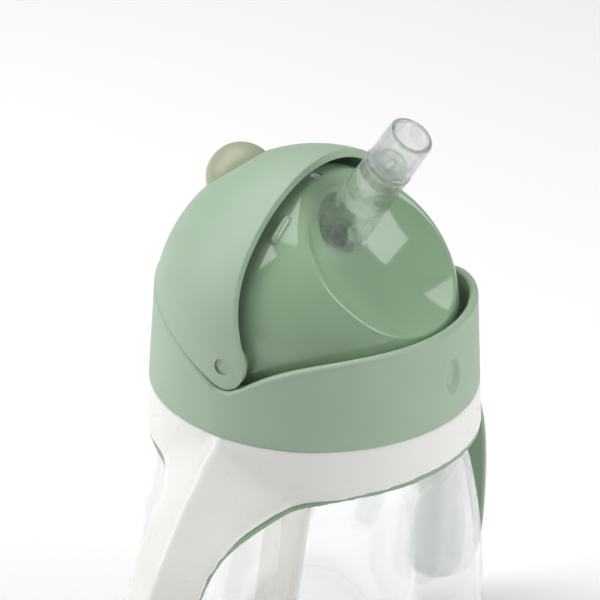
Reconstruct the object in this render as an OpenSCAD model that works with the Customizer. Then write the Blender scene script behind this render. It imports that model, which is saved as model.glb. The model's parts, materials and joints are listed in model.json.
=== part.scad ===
// Toddler's straw bottle with a turning hood over a folding silicone spout.
// Millimetres, +Z up, origin at the centre of the base. The spout side faces -Y,
// and the hood's pivots and the two handles lie along X.

/* [Bottle] */
// Largest radius of the clear body
belly_r = 40.4; // [39:0.2:42]
// Height of the body's widest point
belly_z = 33; // [30:1:36]
// Radius of the body's side seen from the front, a long arc
side_arc_r = 135; // [125:5:150]
// Wall of the clear body
wall = 1.8; // [1.5:0.1:2.2]
// Outer radius of the threaded neck
neck_r = 31.5; // [31:0.1:31.8]
// Height of the neck's rim
neck_z = 95.5; // [95:0.1:95.6]

/* [Thread] */
// Rise in one turn of the lid
lead = 4; // [3.6:0.1:4.4]
// Height of the thread ridges across the wall
ridge_h = 2; // [1.8:0.1:2.1]
// Width of a ridge where it meets the wall
ridge_w = 1.5; // [1.3:0.1:1.6]

/* [Lid] */
// Height of the seam between the collar and the handle ring
seam_z = 88; // [87.8:0.1:88.2]
// Collar radius at that seam
collar_r = 38; // [37.6:0.1:38.4]
// Height of the hood's pivots
pivot_z = 105; // [104.8:0.1:105.2]
// Outer radius of the glossy dome
dome_r = 32.8; // [32.4:0.1:32.9]
// Radius of the scoop's edge
scoop_r = 20.8; // [20.4:0.1:21]
// Depth of the scoop at its middle
scoop_d = 7.8; // [7.6:0.1:8]
// Forward tilt of the scoop's axis from the vertical
scoop_tilt = 43.5; // [43:0.5:44]

/* [Hood] */
// Outer radius of the hood
hood_r = 37; // [36.9:0.1:37.2]
// Thickness of the hood
hood_t = 2; // [1.8:0.1:2]
// Radius of the lug round each pivot
lug_r = 5.5; // [5.2:0.1:5.6]
// Radius of each pivot pin
pin_r = 1.9; // [1.7:0.1:2]
// Radius of the grip knob
knob_r = 8.1; // [7.6:0.1:8.4]

/* [Straw] */
// Forward tilt of the spout from the vertical
spout_tilt = 32.4; // [32:0.2:32.8]
// Length of the spout above the scoop
spout_l = 34; // [33.4:0.2:34.2]
// Radius of the spout at its tip
tip_r = 5.25; // [5.1:0.05:5.3]
// Radius of the bore through the spout
bore_r = 3.9; // [3.7:0.05:3.95]
// Backward lean of the long straw from the vertical
straw_lean = 7.2; // [6.8:0.1:7.6]
// Radius of the long straw
straw_r = 5.2; // [5:0.05:5.2]

/* [Handles] */
// Height of the white ring's lower edge at the front
ring_z = 78; // [77.8:0.1:78.2]
// Thickness of the green lining under the ring
lining_t = 1.5; // [1.3:0.1:1.6]
// Most that the lining stands in from the handle's inner face
grip_t = 3; // [2.4:0.1:3.2]

/* [Hidden] */
$fn = 96;
eps = 0.01;

// Colours
sage = [0.62, 0.73, 0.62];
gloss_sage = [0.54, 0.67, 0.54];
khaki = [0.74, 0.76, 0.65];
warm_white = [0.93, 0.93, 0.91];
clear_plastic = [0.85, 0.9, 0.92, 0.35];
clear_silicone = [0.8, 0.86, 0.87, 0.5];
cream = [0.9, 0.88, 0.83, 0.7];
grey_silicone = [0.78, 0.8, 0.78];

// Bottle heights and radii
base_round = 7;
base_recess_r = 26;
base_recess = 1;
floor_t = 2.4;
shoulder_z = ring_z - lining_t;
shoulder_r = 34.6;
neck_in_r = neck_r - 2.2;
neck_start_z = 70.3;

// Lid heights and radii
collar_taper = 0.054;
web_z = 97;
web_t = 1.5;
collar_in_r = 34.8;
web_in_r = 29.6;
dome_t = 2;
flange_t = 0.9;
dome_foot_z = web_z + web_t;
lip_gap = 0.25;
rim_top = 18;
pin_end_x = 36.4;
boss_r = 4.2;
boss_end_x = 34.7;
pin_gap = 0.05;

// Places in the side view are [forward, up] from the pivot
scoop_dist = sqrt(dome_r * dome_r - scoop_r * scoop_r);
foot_at = [6.2, 20.7];
foot_r = 6.2;
seat_r = 7;
seat_d = 0.9;
seat_wall = 4;
mark_in = 1.2;
hole_r = 5.3;
straw_down = 7;
knob_at = [-21.1, 26.4];
knob_lean = atan2(-knob_at[0], knob_at[1]);
peg_r = 3;
vent_at = -0.6;
vent_r = 1.3;
vent_low = 26;
rib_at = 2.4;
rib_r = 1.1;
rib_arc = 14;
rib_lean = 33.7;

// Where the spout is divided, measured along it from the scoop
bends = [6, 14, 24];
stem_r = 5.85;
stem_taper = (stem_r - tip_r) / (spout_l - bends[0]);

// A point of a cubic Bezier curve, and a run of such points
function bezier(p, t) =
    pow(1 - t, 3) * p[0] + 3 * t * pow(1 - t, 2) * p[1]
    + 3 * t * t * (1 - t) * p[2] + pow(t, 3) * p[3];
function bezier_run(p, n = 14) = [for (i = [0:n]) bezier(p, i / n)];
function arc_points(r, a0, a1, n = 10) =
    [for (i = [0:n]) let (a = a0 + (a1 - a0) * i / n) [r * cos(a), r * sin(a)]];

// Edges in the side view
hood_front = [[0.1, 24], [0.3, 15], [2.4, 9.5], [4.9, 2.5]];
hood_back = [[-2.2, -5.05], [-8.5, -2], [-15, 2.8], [-38, 9]];
rim_front = [[3.9, -4.6], [10.8, 0.2], [19, 5.6], [40, 5.3]];

// Extrudes a side-view outline right across the object
module across(width = 100)
    translate([0, 0, pivot_z])
        rotate([90, 0, -90])
            translate([0, 0, -width / 2])
                linear_extrude(width) children();

// Puts something made on +Z at a side-view place, tilted forward
module tilted(at, tilt)
    translate([0, -at[0], pivot_z + at[1]]) rotate([tilt, 0, 0]) children();

// Turns something made on the +X side to the side asked for
module on_side(side) rotate([0, 0, side > 0 ? 0 : 180]) children();

// A ring of rectangular section
module ring(r_in, r_out, z0, z1)
    difference() {
        translate([0, 0, z0]) cylinder(r = r_out, h = z1 - z0);
        translate([0, 0, z0 - 1]) cylinder(r = r_in, h = z1 - z0 + 2);
    }

// One closed helical ridge: its section points lie at [out, up] from the wall
function ridge_section(side) =
    [[-0.4 * side, -ridge_w / 2 * side], [ridge_h * side, -ridge_w / 4 * side],
     [ridge_h * side, ridge_w / 4 * side], [-0.4 * side, ridge_w / 2 * side]];
module helix(wall_r, z0, turns, side, steps_per_turn = 24) {
    n = round(turns * steps_per_turn);
    section = ridge_section(side);
    points = [for (i = [0:n], s = section)
        let (a = 360 * i / steps_per_turn)
        [(wall_r + s[0]) * cos(a), (wall_r + s[0]) * sin(a),
         z0 + lead * i / steps_per_turn + s[1]]];
    walls = [for (i = [0:n - 1], j = [0:3], k = [0, 1])
        let (a = 4 * i + j, b = 4 * i + (j + 1) % 4)
        k == 0 ? [a, b, a + 4] : [b, b + 4, a + 4]];
    faces = concat(walls, [[3, 2, 1, 0], [for (j = [0:3]) 4 * n + j]]);
    polyhedron(points, faces);
}

// Clear blown body: a barrel with a rounded foot, a shoulder and a threaded neck
function arc_at(centre, r, a0, a1, n) = [for (p = arc_points(r, a0, a1, n)) centre + p];
function barrel_side(inset, z0, round_r) =
    let (r = side_arc_r - inset,
         centre = [belly_r - side_arc_r, belly_z],
         foot_z = z0 + round_r,
         foot = [centre[0] + sqrt(pow(r - round_r, 2) - pow(foot_z - belly_z, 2)), foot_z],
         low = atan2(foot[1] - centre[1], foot[0] - centre[0]),
         high = asin((neck_start_z - belly_z) / r))
    concat(arc_at(foot, round_r, -90, low, 9), arc_at(centre, r, low + 1, high, 24));
module bottle_body() {
    color(clear_plastic)
    difference() {
        union() {
            rotate_extrude()
                polygon(concat(
                    [[base_recess_r, base_recess], [base_recess_r, 0]],
                    barrel_side(0, 0, base_round),
                    [[shoulder_r, shoulder_z], [neck_r, shoulder_z], [neck_r, neck_z],
                     [0, neck_z], [0, base_recess]]));
            helix(neck_r, 90.4, 0.9, 1);
        }
        rotate_extrude()
            polygon(concat(
                [[0, floor_t]],
                barrel_side(wall, floor_t, base_round - wall),
                [[neck_in_r, shoulder_z], [neck_in_r, neck_z + 1], [0, neck_z + 1]]));
    }
}

// Handles. Each row is a station from the ring down to the free end:
// the parting line [out, up], the outer ridge [out, up] and half the width
stations = [
    [[27, 77.4], [31, 88], 25],
    [[33, 73.8], [36.8, 87.9], 18.6],
    [[38, 70.8], [41.6, 85.8], 14.8],
    [[43, 68.7], [46.4, 81], 12.5],
    [[47.4, 67], [51, 76], 11.2],
    [[51.5, 64.8], [55.2, 71], 10.3],
    [[56.5, 59.6], [61.2, 63], 9.6],
    [[60.2, 52], [65.8, 53.5], 9.3],
    [[62, 42], [68.2, 42], 9.2],
    [[62.3, 30], [68.5, 29], 9.2],
    [[61, 18.5], [66.8, 15.5], 9.2],
    [[57.2, 11.8], [60.8, 7], 8.8],
    [[52, 9.4], [53.4, 4.4], 7]];
section_n = 12;
edge_share = 0.16;
// Share of the ridge's height at a place from -1 to 1 across the handle
function crown(a) = edge_share + (1 - edge_share) * pow(1 - abs(a), 0.95);
function bulge(a) = lining_t + (grip_t - lining_t) * (1 - a * a);
function spot(p, y) = [p[0], y, p[1]];
function white_section(s) = concat(
    [for (i = [0:section_n]) let (a = -1 + 2 * i / section_n)
        spot(s[0] + (s[1] - s[0]) * crown(a), a * s[2])],
    [for (i = [section_n:-1:0]) let (a = -1 + 2 * i / section_n) spot(s[0], a * s[2])]);
function green_section(s) = concat(
    [for (i = [0:section_n]) let (a = -1 + 2 * i / section_n) spot(s[0], a * s[2])],
    [for (i = [section_n:-1:0]) let (a = -1 + 2 * i / section_n,
            inward = (s[1] - s[0]) / norm(s[1] - s[0]))
        spot(s[0] - inward * bulge(a), a * s[2])]);
// Joins sections of equal length; each end is closed by a strip of triangles
module loft(sections) {
    m = len(sections[0]);
    last = m * (len(sections) - 1);
    polyhedron(
        [for (s = sections, p = s) p],
        concat(
            [for (i = [0:len(sections) - 2], j = [0:m - 1], k = [0, 1])
                let (a = m * i + j, b = m * i + (j + 1) % m)
                k == 0 ? [a, b, a + m] : [b, b + m, a + m]],
            [for (j = [0:section_n - 1], k = [0, 1])
                k == 0 ? [j + 1, j, m - 1 - j] : [j + 1, m - 1 - j, m - 2 - j]],
            [for (j = [0:section_n - 1], k = [0, 1])
                k == 0 ? [last + j, last + j + 1, last + m - 1 - j]
                       : [last + j + 1, last + m - 2 - j, last + m - 1 - j]]),
        convexity = 6);
}
module both_sides() {
    children();
    mirror([1, 0, 0]) children();
}
module handle_frame()
    color(warm_white)
    difference() {
        union() {
            translate([0, 0, ring_z]) cylinder(r1 = 38.6, r2 = collar_r, h = seam_z - ring_z);
            both_sides() loft([for (s = stations) white_section(s)]);
        }
        translate([0, 0, ring_z - 20]) cylinder(r = shoulder_r + 0.4, h = 20 + eps);
        translate([0, 0, ring_z - 1]) cylinder(r = neck_r + 2.1, h = 20);
    }

// Green soft lining: a lip under the ring and the grips inside the handles
module handle_lining()
    color(gloss_sage)
    difference() {
        union() {
            difference() {
                ring(neck_r + 0.5, 38.4, shoulder_z, ring_z);
                both_sides() loft([for (s = stations) white_section(s)]);
            }
            both_sides() loft([for (s = stations) green_section(s)]);
        }
        translate([0, 0, shoulder_z - 20]) cylinder(r = shoulder_r + 1.4, h = 20 + eps);
        translate([0, 0, ring_z]) cylinder(r = 38.6, h = 20);
        translate([0, 0, shoulder_z - 1]) cylinder(r = neck_r + 0.5, h = 20);
    }

// Flat silicone ring between the neck's rim and the lid
module lid_gasket()
    color(grey_silicone) ring(neck_in_r + 0.4, neck_r + 0.8, neck_z, web_z);

// Side-view outlines of the collar's rim and of the hood
module below_rim()
    difference() {
        polygon(concat(
            [[45, -40], [45, rim_front[3][1]]],
            [for (i = [14:-1:0]) bezier(rim_front, i / 14)],
            [for (p = bezier_run(hood_back)) p - [0, lip_gap]],
            [[-45, hood_back[3][1] + 1.4], [-45, -40]]));
        circle(lug_r + 0.35);
    }
module hood_outline() {
    lug_start = atan2(hood_front[3][1], hood_front[3][0]);
    lug_end = atan2(hood_back[0][1], hood_back[0][0]);
    polygon(concat(
        [[hood_front[0][0], 45]],
        bezier_run(hood_front),
        arc_points(lug_r, lug_start, lug_end, 20),
        bezier_run(hood_back),
        [[-45, hood_back[3][1] + 1.65], [-45, 45]]));
}

// Matt outer collar: skirt, internal thread, inner web and the cut rim
module screw_collar() {
    skirt_h = pivot_z + rim_top - seam_z;
    color(sage)
    difference() {
        intersection() {
            union() {
                difference() {
                    translate([0, 0, seam_z])
                        cylinder(r1 = collar_r, r2 = collar_r - collar_taper * skirt_h, h = skirt_h);
                    translate([0, 0, seam_z - 1]) cylinder(r = collar_in_r, h = skirt_h + 2);
                }
                ring(web_in_r, collar_in_r + 1, web_z, web_z + web_t);
                helix(collar_in_r, 88.9, 0.8, -1);
            }
            across() below_rim();
        }
        // plain oval mark on the front
        translate([0, -collar_r + mark_in, pivot_z - 6.2])
            rotate([90, 0, 0]) {
                for (z = [-1.9, 1.9]) translate([0, z, 0]) cylinder(r = 2.3, h = 4, $fn = 48);
                translate([-2.3, -1.9, 0]) cube([4.6, 3.8, 4]);
            }
    }
}

// The scoop is cut by a larger ball, whose surface meets the dome at the scoop's edge
scoop_ball_r = (scoop_r * scoop_r + scoop_d * scoop_d) / (2 * scoop_d);
module scoop(grow = 0)
    tilted([0, 0], scoop_tilt)
        translate([0, 0, scoop_dist - scoop_d + scoop_ball_r])
            sphere(scoop_ball_r + grow, $fn = 180);

// Glossy dome with the scoop, the detent ribs, the bosses and its flange
module detent_rib()
    translate([0, -rib_at, pivot_z])
        rotate([90, 0, 0])
            rotate([0, 0, 90 + rib_lean - rib_arc / 2])
                rotate_extrude(angle = rib_arc)
                    translate([dome_r - 0.15, 0]) circle(rib_r, $fn = 32);
module dome_cover() {
    inner_r = dome_r - dome_t;
    color(gloss_sage)
    difference() {
        union() {
            difference() {
                intersection() {
                    translate([0, 0, pivot_z]) sphere(dome_r, $fn = 128);
                    translate([-40, -40, dome_foot_z]) cube([80, 80, 60]);
                }
                difference() {
                    translate([0, 0, pivot_z]) sphere(inner_r, $fn = 128);
                    scoop(dome_t);
                }
                scoop();
            }
            ring(inner_r - 1.2, collar_in_r - 0.1, dome_foot_z, dome_foot_z + flange_t);
            for (side = [-1, 1])
                on_side(side) translate([inner_r - 1, 0, pivot_z])
                    rotate([0, 90, 0]) cylinder(r = boss_r, h = boss_end_x - inner_r + 1);
            both_sides() detent_rib();
            tilted(foot_at, spout_tilt)
                translate([0, 0, -seat_wall]) cylinder(r = seat_r + 0.8, h = seat_wall);
        }
        tilted(foot_at, spout_tilt) {
            translate([0, 0, -10]) cylinder(r = hole_r, h = 20);
            translate([0, 0, -seat_d]) cylinder(r = seat_r, h = 12);
        }
        translate([0, -vent_at, pivot_z + vent_low]) cylinder(r = vent_r, h = 10, $fn = 32);
        for (side = [-1, 1])
            on_side(side) translate([inner_r - 3, 0, pivot_z])
                rotate([0, 90, 0]) cylinder(r = pin_r, h = 10);
    }
}

module pivot_pin(side)
    color(khaki)
        on_side(side) translate([dome_r - dome_t - 2.5, 0, pivot_z])
            rotate([0, 90, 0]) cylinder(r = pin_r, h = pin_end_x - dome_r + dome_t + 2.5);

// Small silicone vent seated in the dome, with a slit through its lips
module vent_valve()
    color("white")
        translate([0, -vent_at, pivot_z + dome_r])
            difference() {
                union() {
                    translate([0, 0, -3]) cylinder(r = vent_r, h = 2.6, $fn = 32);
                    translate([0, 0, -5]) cylinder(r1 = 0.7, r2 = vent_r, h = 2, $fn = 32);
                }
                translate([-0.15, -0.9, -6]) cube([0.3, 1.8, 8]);
            }

// Silicone foot: a bulb in the scoop, a groove in the wall and a sleeve below
module lean_down()
    tilted(foot_at - straw_down * [sin(spout_tilt), cos(spout_tilt)], straw_lean) children();
module straw_foot()
    color(clear_silicone)
    difference() {
        union() {
            tilted(foot_at, spout_tilt) {
                rotate_extrude()
                    intersection() {
                        union() {
                            translate([0, 1.6]) circle(foot_r);
                            square([stem_r, bends[0]]);
                        }
                        translate([0, -seat_d]) square([foot_r + 1, bends[0] + seat_d]);
                    }
                translate([0, 0, -straw_down]) cylinder(r = hole_r, h = straw_down);
            }
            difference() {
                lean_down() translate([0, 0, -5]) cylinder(r = straw_r + 1.1, h = 9);
                scoop(dome_t);
                // the sleeve starts under the seat
                tilted(foot_at, spout_tilt)
                    translate([0, 0, -seat_wall]) cylinder(r = 20, h = 20);
            }
        }
        tilted(foot_at, spout_tilt)
            translate([0, 0, -straw_down - 1]) cylinder(r = bore_r, h = straw_down + 12);
        lean_down() translate([0, 0, -20]) cylinder(r = straw_r, h = 20);
    }

// Long straw from the foot's sleeve to near the floor of the bottle
module long_straw() {
    straw_end_z = 6;
    length = (pivot_z + foot_at[1] - straw_down - straw_end_z) / cos(straw_lean);
    color(cream)
        lean_down() translate([0, 0, -length])
            difference() {
                cylinder(r = straw_r, h = length);
                translate([0, 0, -1]) cylinder(r = straw_r - 1, h = length + 2);
            }
}

// Matt hood: a slice of a ball with a lug at each pivot
module hood_cover()
    color(sage)
    difference() {
        intersection() {
            translate([0, 0, pivot_z]) sphere(hood_r, $fn = 160);
            across() hood_outline();
        }
        translate([0, 0, pivot_z]) sphere(hood_r - hood_t, $fn = 160);
        translate([-50, 0, pivot_z]) rotate([0, 90, 0]) cylinder(r = pin_r + pin_gap, h = 100);
        tilted([0, 0], -knob_lean) translate([0, 0, 30]) cylinder(r = peg_r, h = 10);
    }
module hood_knob()
    color(khaki)
        tilted([0, 0], -knob_lean) {
            difference() {
                translate([0, 0, norm(knob_at)]) sphere(knob_r);
                sphere(hood_r, $fn = 160);
            }
            translate([0, 0, hood_r - hood_t + 0.2]) cylinder(r = peg_r, h = 4);
        }

// The spout above the foot, in three stretches that follow one another
function spout_r(s) = stem_r - stem_taper * (s - bends[0]);
module stretch(s0, s1)
    tilted(foot_at, spout_tilt) translate([0, 0, s0])
        difference() {
            cylinder(r1 = spout_r(s0), r2 = spout_r(s1), h = s1 - s0);
            translate([0, 0, -1]) cylinder(r = bore_r, h = s1 - s0 + 2);
        }
module spout_lower() color(clear_silicone) stretch(bends[0], bends[1]);
module spout_middle() color(clear_silicone) stretch(bends[1], bends[2]);
module spout_mouth()
    color(clear_silicone) {
        stretch(bends[2], spout_l);
        // wall across the bore, with the slit that the drink comes through
        tilted(foot_at, spout_tilt)
            translate([0, 0, bends[2]])
                difference() {
                    cylinder(r = bore_r + 0.3, h = 1.2);
                    translate([-1.8, -0.5, -1]) cube([3.6, 1, 4]);
                }
    }

bottle_body();
handle_frame();
handle_lining();
lid_gasket();
screw_collar();
dome_cover();
pivot_pin(-1);  // pivot_pin_left
pivot_pin(1);  // pivot_pin_right
vent_valve();
straw_foot();
long_straw();
hood_cover();
hood_knob();
spout_lower();
spout_middle();
spout_mouth();
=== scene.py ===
"""Looks of the toddler's straw bottle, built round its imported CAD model.

Shapes are worked out in millimetres and turned to metres as each mesh is made. The spout side faces -Y,
the hood's pivots and the handles lie along X, and the table is at z = 0. In the side view a place is
[forward, up] from the hood's pivot.
"""

import json
import math

import bmesh
import bpy
import numpy as np
from mathutils import Matrix, Vector


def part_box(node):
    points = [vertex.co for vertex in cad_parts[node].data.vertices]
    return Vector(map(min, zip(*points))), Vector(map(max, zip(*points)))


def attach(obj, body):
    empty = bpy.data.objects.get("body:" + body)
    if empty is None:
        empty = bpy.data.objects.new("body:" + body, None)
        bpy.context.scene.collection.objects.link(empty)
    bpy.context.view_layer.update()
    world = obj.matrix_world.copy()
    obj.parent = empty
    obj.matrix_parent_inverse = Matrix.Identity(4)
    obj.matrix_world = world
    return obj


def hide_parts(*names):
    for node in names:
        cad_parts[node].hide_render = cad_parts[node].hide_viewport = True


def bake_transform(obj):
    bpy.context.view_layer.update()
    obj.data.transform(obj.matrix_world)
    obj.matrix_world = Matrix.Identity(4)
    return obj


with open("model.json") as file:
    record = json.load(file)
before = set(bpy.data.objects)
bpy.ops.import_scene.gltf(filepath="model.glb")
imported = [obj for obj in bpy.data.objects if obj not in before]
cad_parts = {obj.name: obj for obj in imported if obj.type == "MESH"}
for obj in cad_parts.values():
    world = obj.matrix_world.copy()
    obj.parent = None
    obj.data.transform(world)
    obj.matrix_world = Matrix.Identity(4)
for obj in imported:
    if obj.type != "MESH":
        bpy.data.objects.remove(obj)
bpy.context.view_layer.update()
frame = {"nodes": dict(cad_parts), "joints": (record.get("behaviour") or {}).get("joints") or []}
JOINTS = {j["name"]: j for j in frame["joints"]}
MM = 0.001

# ---------------------------------------------------------------- sizes


def box_mm(node):
    """Lowest and highest corner of a CAD node, in millimetres."""
    low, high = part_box(node)
    return np.array(low) / MM, np.array(high) / MM


def joint_mm(name):
    return np.array(JOINTS[name]["pos_m"]) / MM


PIVOT_Z = joint_mm("hood_pivot")[2]
COLLAR_LOW, COLLAR_HIGH = box_mm("screw_collar")
SEAM_Z = COLLAR_LOW[2]
COLLAR_R = COLLAR_HIGH[0]
COLLAR_TAPER = 0.054
COLLAR_IN_R = 34.8
WEB_Z, WEB_TOP = 97.0, 98.5
WEB_IN_R, WEB_OUT_R = 29.6, COLLAR_IN_R + 0.4
LIP_GAP = 0.25
MARK_Z = PIVOT_Z - 6.2
MARK_HALF_W, MARK_HALF_H, MARK_DEPTH = 3.0, 4.7, 1.15

HOOD_R = 37.0
HOOD_T = 2.0
LUG_R = 5.5
PIN_HOLE_R = 1.97

DOME_R = 32.8
DOME_T = 2.0
DOME_FOOT_Z = 98.5
FLANGE_TOP = 99.4
SCOOP_R = 20.8
SCOOP_D = 7.8
SCOOP_TILT = math.radians(43.5)
SCOOP_DIST = math.sqrt(DOME_R**2 - SCOOP_R**2)
# The scoop is pressed by a ball of this radius, centred this far up the scoop's axis
CAP_R = (SCOOP_R**2 + SCOOP_D**2) / (2 * SCOOP_D)
CAP_W = SCOOP_DIST - SCOOP_D + CAP_R
CREASE_CRISP, CREASE_SOFT = 0.75, 3.2

KNOB_R = 8.1
KNOB_AT = np.array([-21.1, 26.4])
VENT_AT, VENT_R = -0.6, 1.3
RIB_LEAN, RIB_ARC = math.radians(33.7), math.radians(14)
RIB_FAT, RIB_FRONT = 1.1, 2.4
BOSS_R, BOSS_L = 4.2, 4.9

FOLD_AT = joint_mm("spout_fold")
CURL_AT = joint_mm("spout_curl")
SPOUT_DIR = (CURL_AT - FOLD_AT) / np.linalg.norm(CURL_AT - FOLD_AT)
SPOUT_TILT = math.atan2(-SPOUT_DIR[1], SPOUT_DIR[2])
FOLD_S = 6.0
SPOUT_FOOT = FOLD_AT - FOLD_S * SPOUT_DIR
BEND_S, CURL_S = FOLD_S + 8, FOLD_S + 18
SPOUT_L = 34.0
FOOT_R, STEM_R, TIP_R = 6.2, 5.85, 5.25
STEM_TAPER = (STEM_R - TIP_R) / (SPOUT_L - FOLD_S)
BORE_R = 3.9
BULB_S, BULB_END_S = 1.6, 4.2
RIDGE_S, GROOVE_S, RIDGE_H = 23.2, 24.1, 0.20
SEAT_R = 7.0
SEAT_S = -0.15
HOLE_R = 3.0
NECK_TUBE_R, NECK_TUBE_TOP = 5.0, -2.7
STRAW_DOWN = 7.0
STRAW_LEAN = math.radians(7.2)
STRAW_R, STRAW_T = 5.2, 1.0
STRAW_END_Z = 6.0

BELLY_R, BELLY_Z, SIDE_ARC_R = 40.4, 33.0, 135.0
WALL = 1.8
NECK_R, NECK_IN_R = 31.5, 29.3
NECK_Z = box_mm("bottle_body")[1][2]
BARREL_TOP_Z, SHOULDER_R, SHOULDER_Z = 70.3, 34.6, 76.5
RECESS_R, RECESS_H = 25.5, 1.0
THREAD_LEAD, THREAD_H, THREAD_W = 4.0, 2.0, 1.5
THREAD_STEPS = 72
NECK_THREAD_Z, COLLAR_THREAD_Z = 90.4, 88.9

BAND_IN_R = 35.75
BAND_FOOT_R = 38.6
LINING_T = 1.5
GRIP_T = 3.0
EDGE_T = 0.55
HIDDEN = 0.8
# Height of the white band's lower edge by the angle, in degrees, from the nearer handle
BAND_EDGE = np.array(
    [[0, 71.6], [22, 71.6], [31, 74.1], [41, 75.5], [50, 76.4], [59, 76.9], [75, 77.7], [90, 78.0]]
)
# Down the handle: parting line [out, up], outer ridge [out, up] and half the width
HANDLE = np.array(
    [
        [33, 73.8, 36.8, 87.9, 18.6],
        [38, 70.8, 41.6, 85.8, 14.8],
        [43, 68.7, 46.4, 81, 12.5],
        [47.4, 67, 51, 76, 11.2],
        [51.5, 64.8, 55.2, 71, 10.3],
        [56.5, 59.6, 61.2, 63, 9.6],
        [60.2, 52, 65.8, 53.5, 9.3],
        [62, 42, 68.2, 42, 9.2],
        [62.3, 30, 68.5, 29, 9.2],
        [61, 18.5, 66.8, 15.5, 9.2],
        [57.2, 11.8, 60.8, 7, 8.8],
        [52, 9.4, 53.4, 4.4, 7],
    ]
)

# Bezier edges in the side view
HOOD_FRONT = np.array([[0.1, 24], [0.3, 15], [2.4, 9.5], [4.9, 2.5]])
HOOD_BACK = np.array([[-2.2, -5.05], [-8.5, -2], [-15, 2.8], [-38, 9]])
RIM_FRONT = np.array([[3.9, -4.6], [10.8, 0.2], [19, 5.6], [40, 5.3]])


def bezier(p, t):
    t = np.asarray(t, float)[:, None]
    return (1 - t) ** 3 * p[0] + 3 * t * (1 - t) ** 2 * p[1] + 3 * t * t * (1 - t) * p[2] + t**3 * p[3]


def smoothstep(x, low, high):
    t = np.clip((np.asarray(x, float) - low) / (high - low), 0, 1)
    return t * t * (3 - 2 * t)


# ---------------------------------------------------------------- materials

# The part of a noise texture's range that carries a material's variation
NOISE_LOW, NOISE_HIGH = 0.3, 0.7
# Noise scales, in features per metre
CLOUD_SCALE, GLOSS_SCALE, GRAIN_SCALE = 90, 700, 2600
CLEAR_GLOSS_SCALE, RIPPLE_SCALE = 400, 160


def principled(name, color, roughness, **more):
    """A new material and its Principled node; more sets that node's other sockets by name."""
    material = bpy.data.materials.new(name)
    material.use_nodes = True
    node = material.node_tree.nodes["Principled BSDF"]
    node.inputs["Base Color"].default_value = (*color, 1)
    node.inputs["Roughness"].default_value = roughness
    for socket, value in more.items():
        node.inputs[socket.replace("_", " ")].default_value = value
    return material, node


def noise(material, scale, detail):
    """A noise texture in the object's own metres."""
    place = material.node_tree.nodes.new("ShaderNodeTexCoord")
    texture = material.node_tree.nodes.new("ShaderNodeTexNoise")
    texture.inputs["Scale"].default_value = scale
    texture.inputs["Detail"].default_value = detail
    material.node_tree.links.new(place.outputs["Object"], texture.inputs["Vector"])
    return texture.outputs["Fac"]


def vary_color(material, node, factor, dark, light):
    ramp = material.node_tree.nodes.new("ShaderNodeValToRGB")
    ramp.color_ramp.elements[0].position = NOISE_LOW
    ramp.color_ramp.elements[1].position = NOISE_HIGH
    ramp.color_ramp.elements[0].color = (*dark, 1)
    ramp.color_ramp.elements[1].color = (*light, 1)
    material.node_tree.links.new(factor, ramp.inputs["Fac"])
    material.node_tree.links.new(ramp.outputs["Color"], node.inputs["Base Color"])


def vary_roughness(material, node, factor, low, high):
    spread = material.node_tree.nodes.new("ShaderNodeMapRange")
    spread.inputs["From Min"].default_value = NOISE_LOW
    spread.inputs["From Max"].default_value = NOISE_HIGH
    spread.inputs["To Min"].default_value = low
    spread.inputs["To Max"].default_value = high
    material.node_tree.links.new(factor, spread.inputs["Value"])
    material.node_tree.links.new(spread.outputs["Result"], node.inputs["Roughness"])


def bump(material, node, factor, depth_mm):
    relief = material.node_tree.nodes.new("ShaderNodeBump")
    relief.inputs["Strength"].default_value = 1.0
    relief.inputs["Distance"].default_value = depth_mm * MM
    material.node_tree.links.new(factor, relief.inputs["Height"])
    material.node_tree.links.new(relief.outputs["Normal"], node.inputs["Normal"])


def shade(color, by):
    return tuple(c * by for c in color)


def moulded(name, color, roughness, grain_mm, spread=0.03, cloud=0.03, **more):
    """Moulded plastic: faint cloudy colour, uneven gloss and a fine grain in the surface."""
    material, node = principled(name, color, roughness, **more)
    clouds = noise(material, CLOUD_SCALE, 4)
    vary_color(material, node, clouds, shade(color, 1 - cloud), shade(color, 1 + cloud))
    gloss = noise(material, GLOSS_SCALE, 3)
    vary_roughness(material, node, gloss, roughness - spread, roughness + spread)
    if grain_mm:
        bump(material, node, noise(material, GRAIN_SCALE, 2), grain_mm)
    return material


SAGE = (0.345, 0.465, 0.345)
DOME_GREEN = (0.285, 0.420, 0.272)
SOFT_GREEN = (0.27, 0.39, 0.26)
KHAKI = (0.36, 0.385, 0.27)
WARM_WHITE = (0.83, 0.83, 0.795)

matt_sage = moulded("matt_sage", SAGE, 0.47, 0.020)
lip_sage = moulded("lip_sage", SAGE, 0.24, 0.004, spread=0.04)
gloss_sage = moulded(
    "gloss_sage", DOME_GREEN, 0.10, 0.0, cloud=0.02, Coat_Weight=0.3, Coat_Roughness=0.04
)
soft_sage = moulded("soft_sage", SOFT_GREEN, 0.42, 0.008)
khaki = moulded("khaki", KHAKI, 0.36, 0.008)
pin_khaki = moulded("pin_khaki", (0.36, 0.44, 0.33), 0.40, 0.006)
white = moulded("white", WARM_WHITE, 0.30, 0.004, cloud=0.01)
seal_grey = moulded("seal_grey", (0.58, 0.60, 0.58), 0.35, 0.006)
valve_white = moulded("valve_white", (0.85, 0.86, 0.85), 0.18, 0.0)


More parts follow.
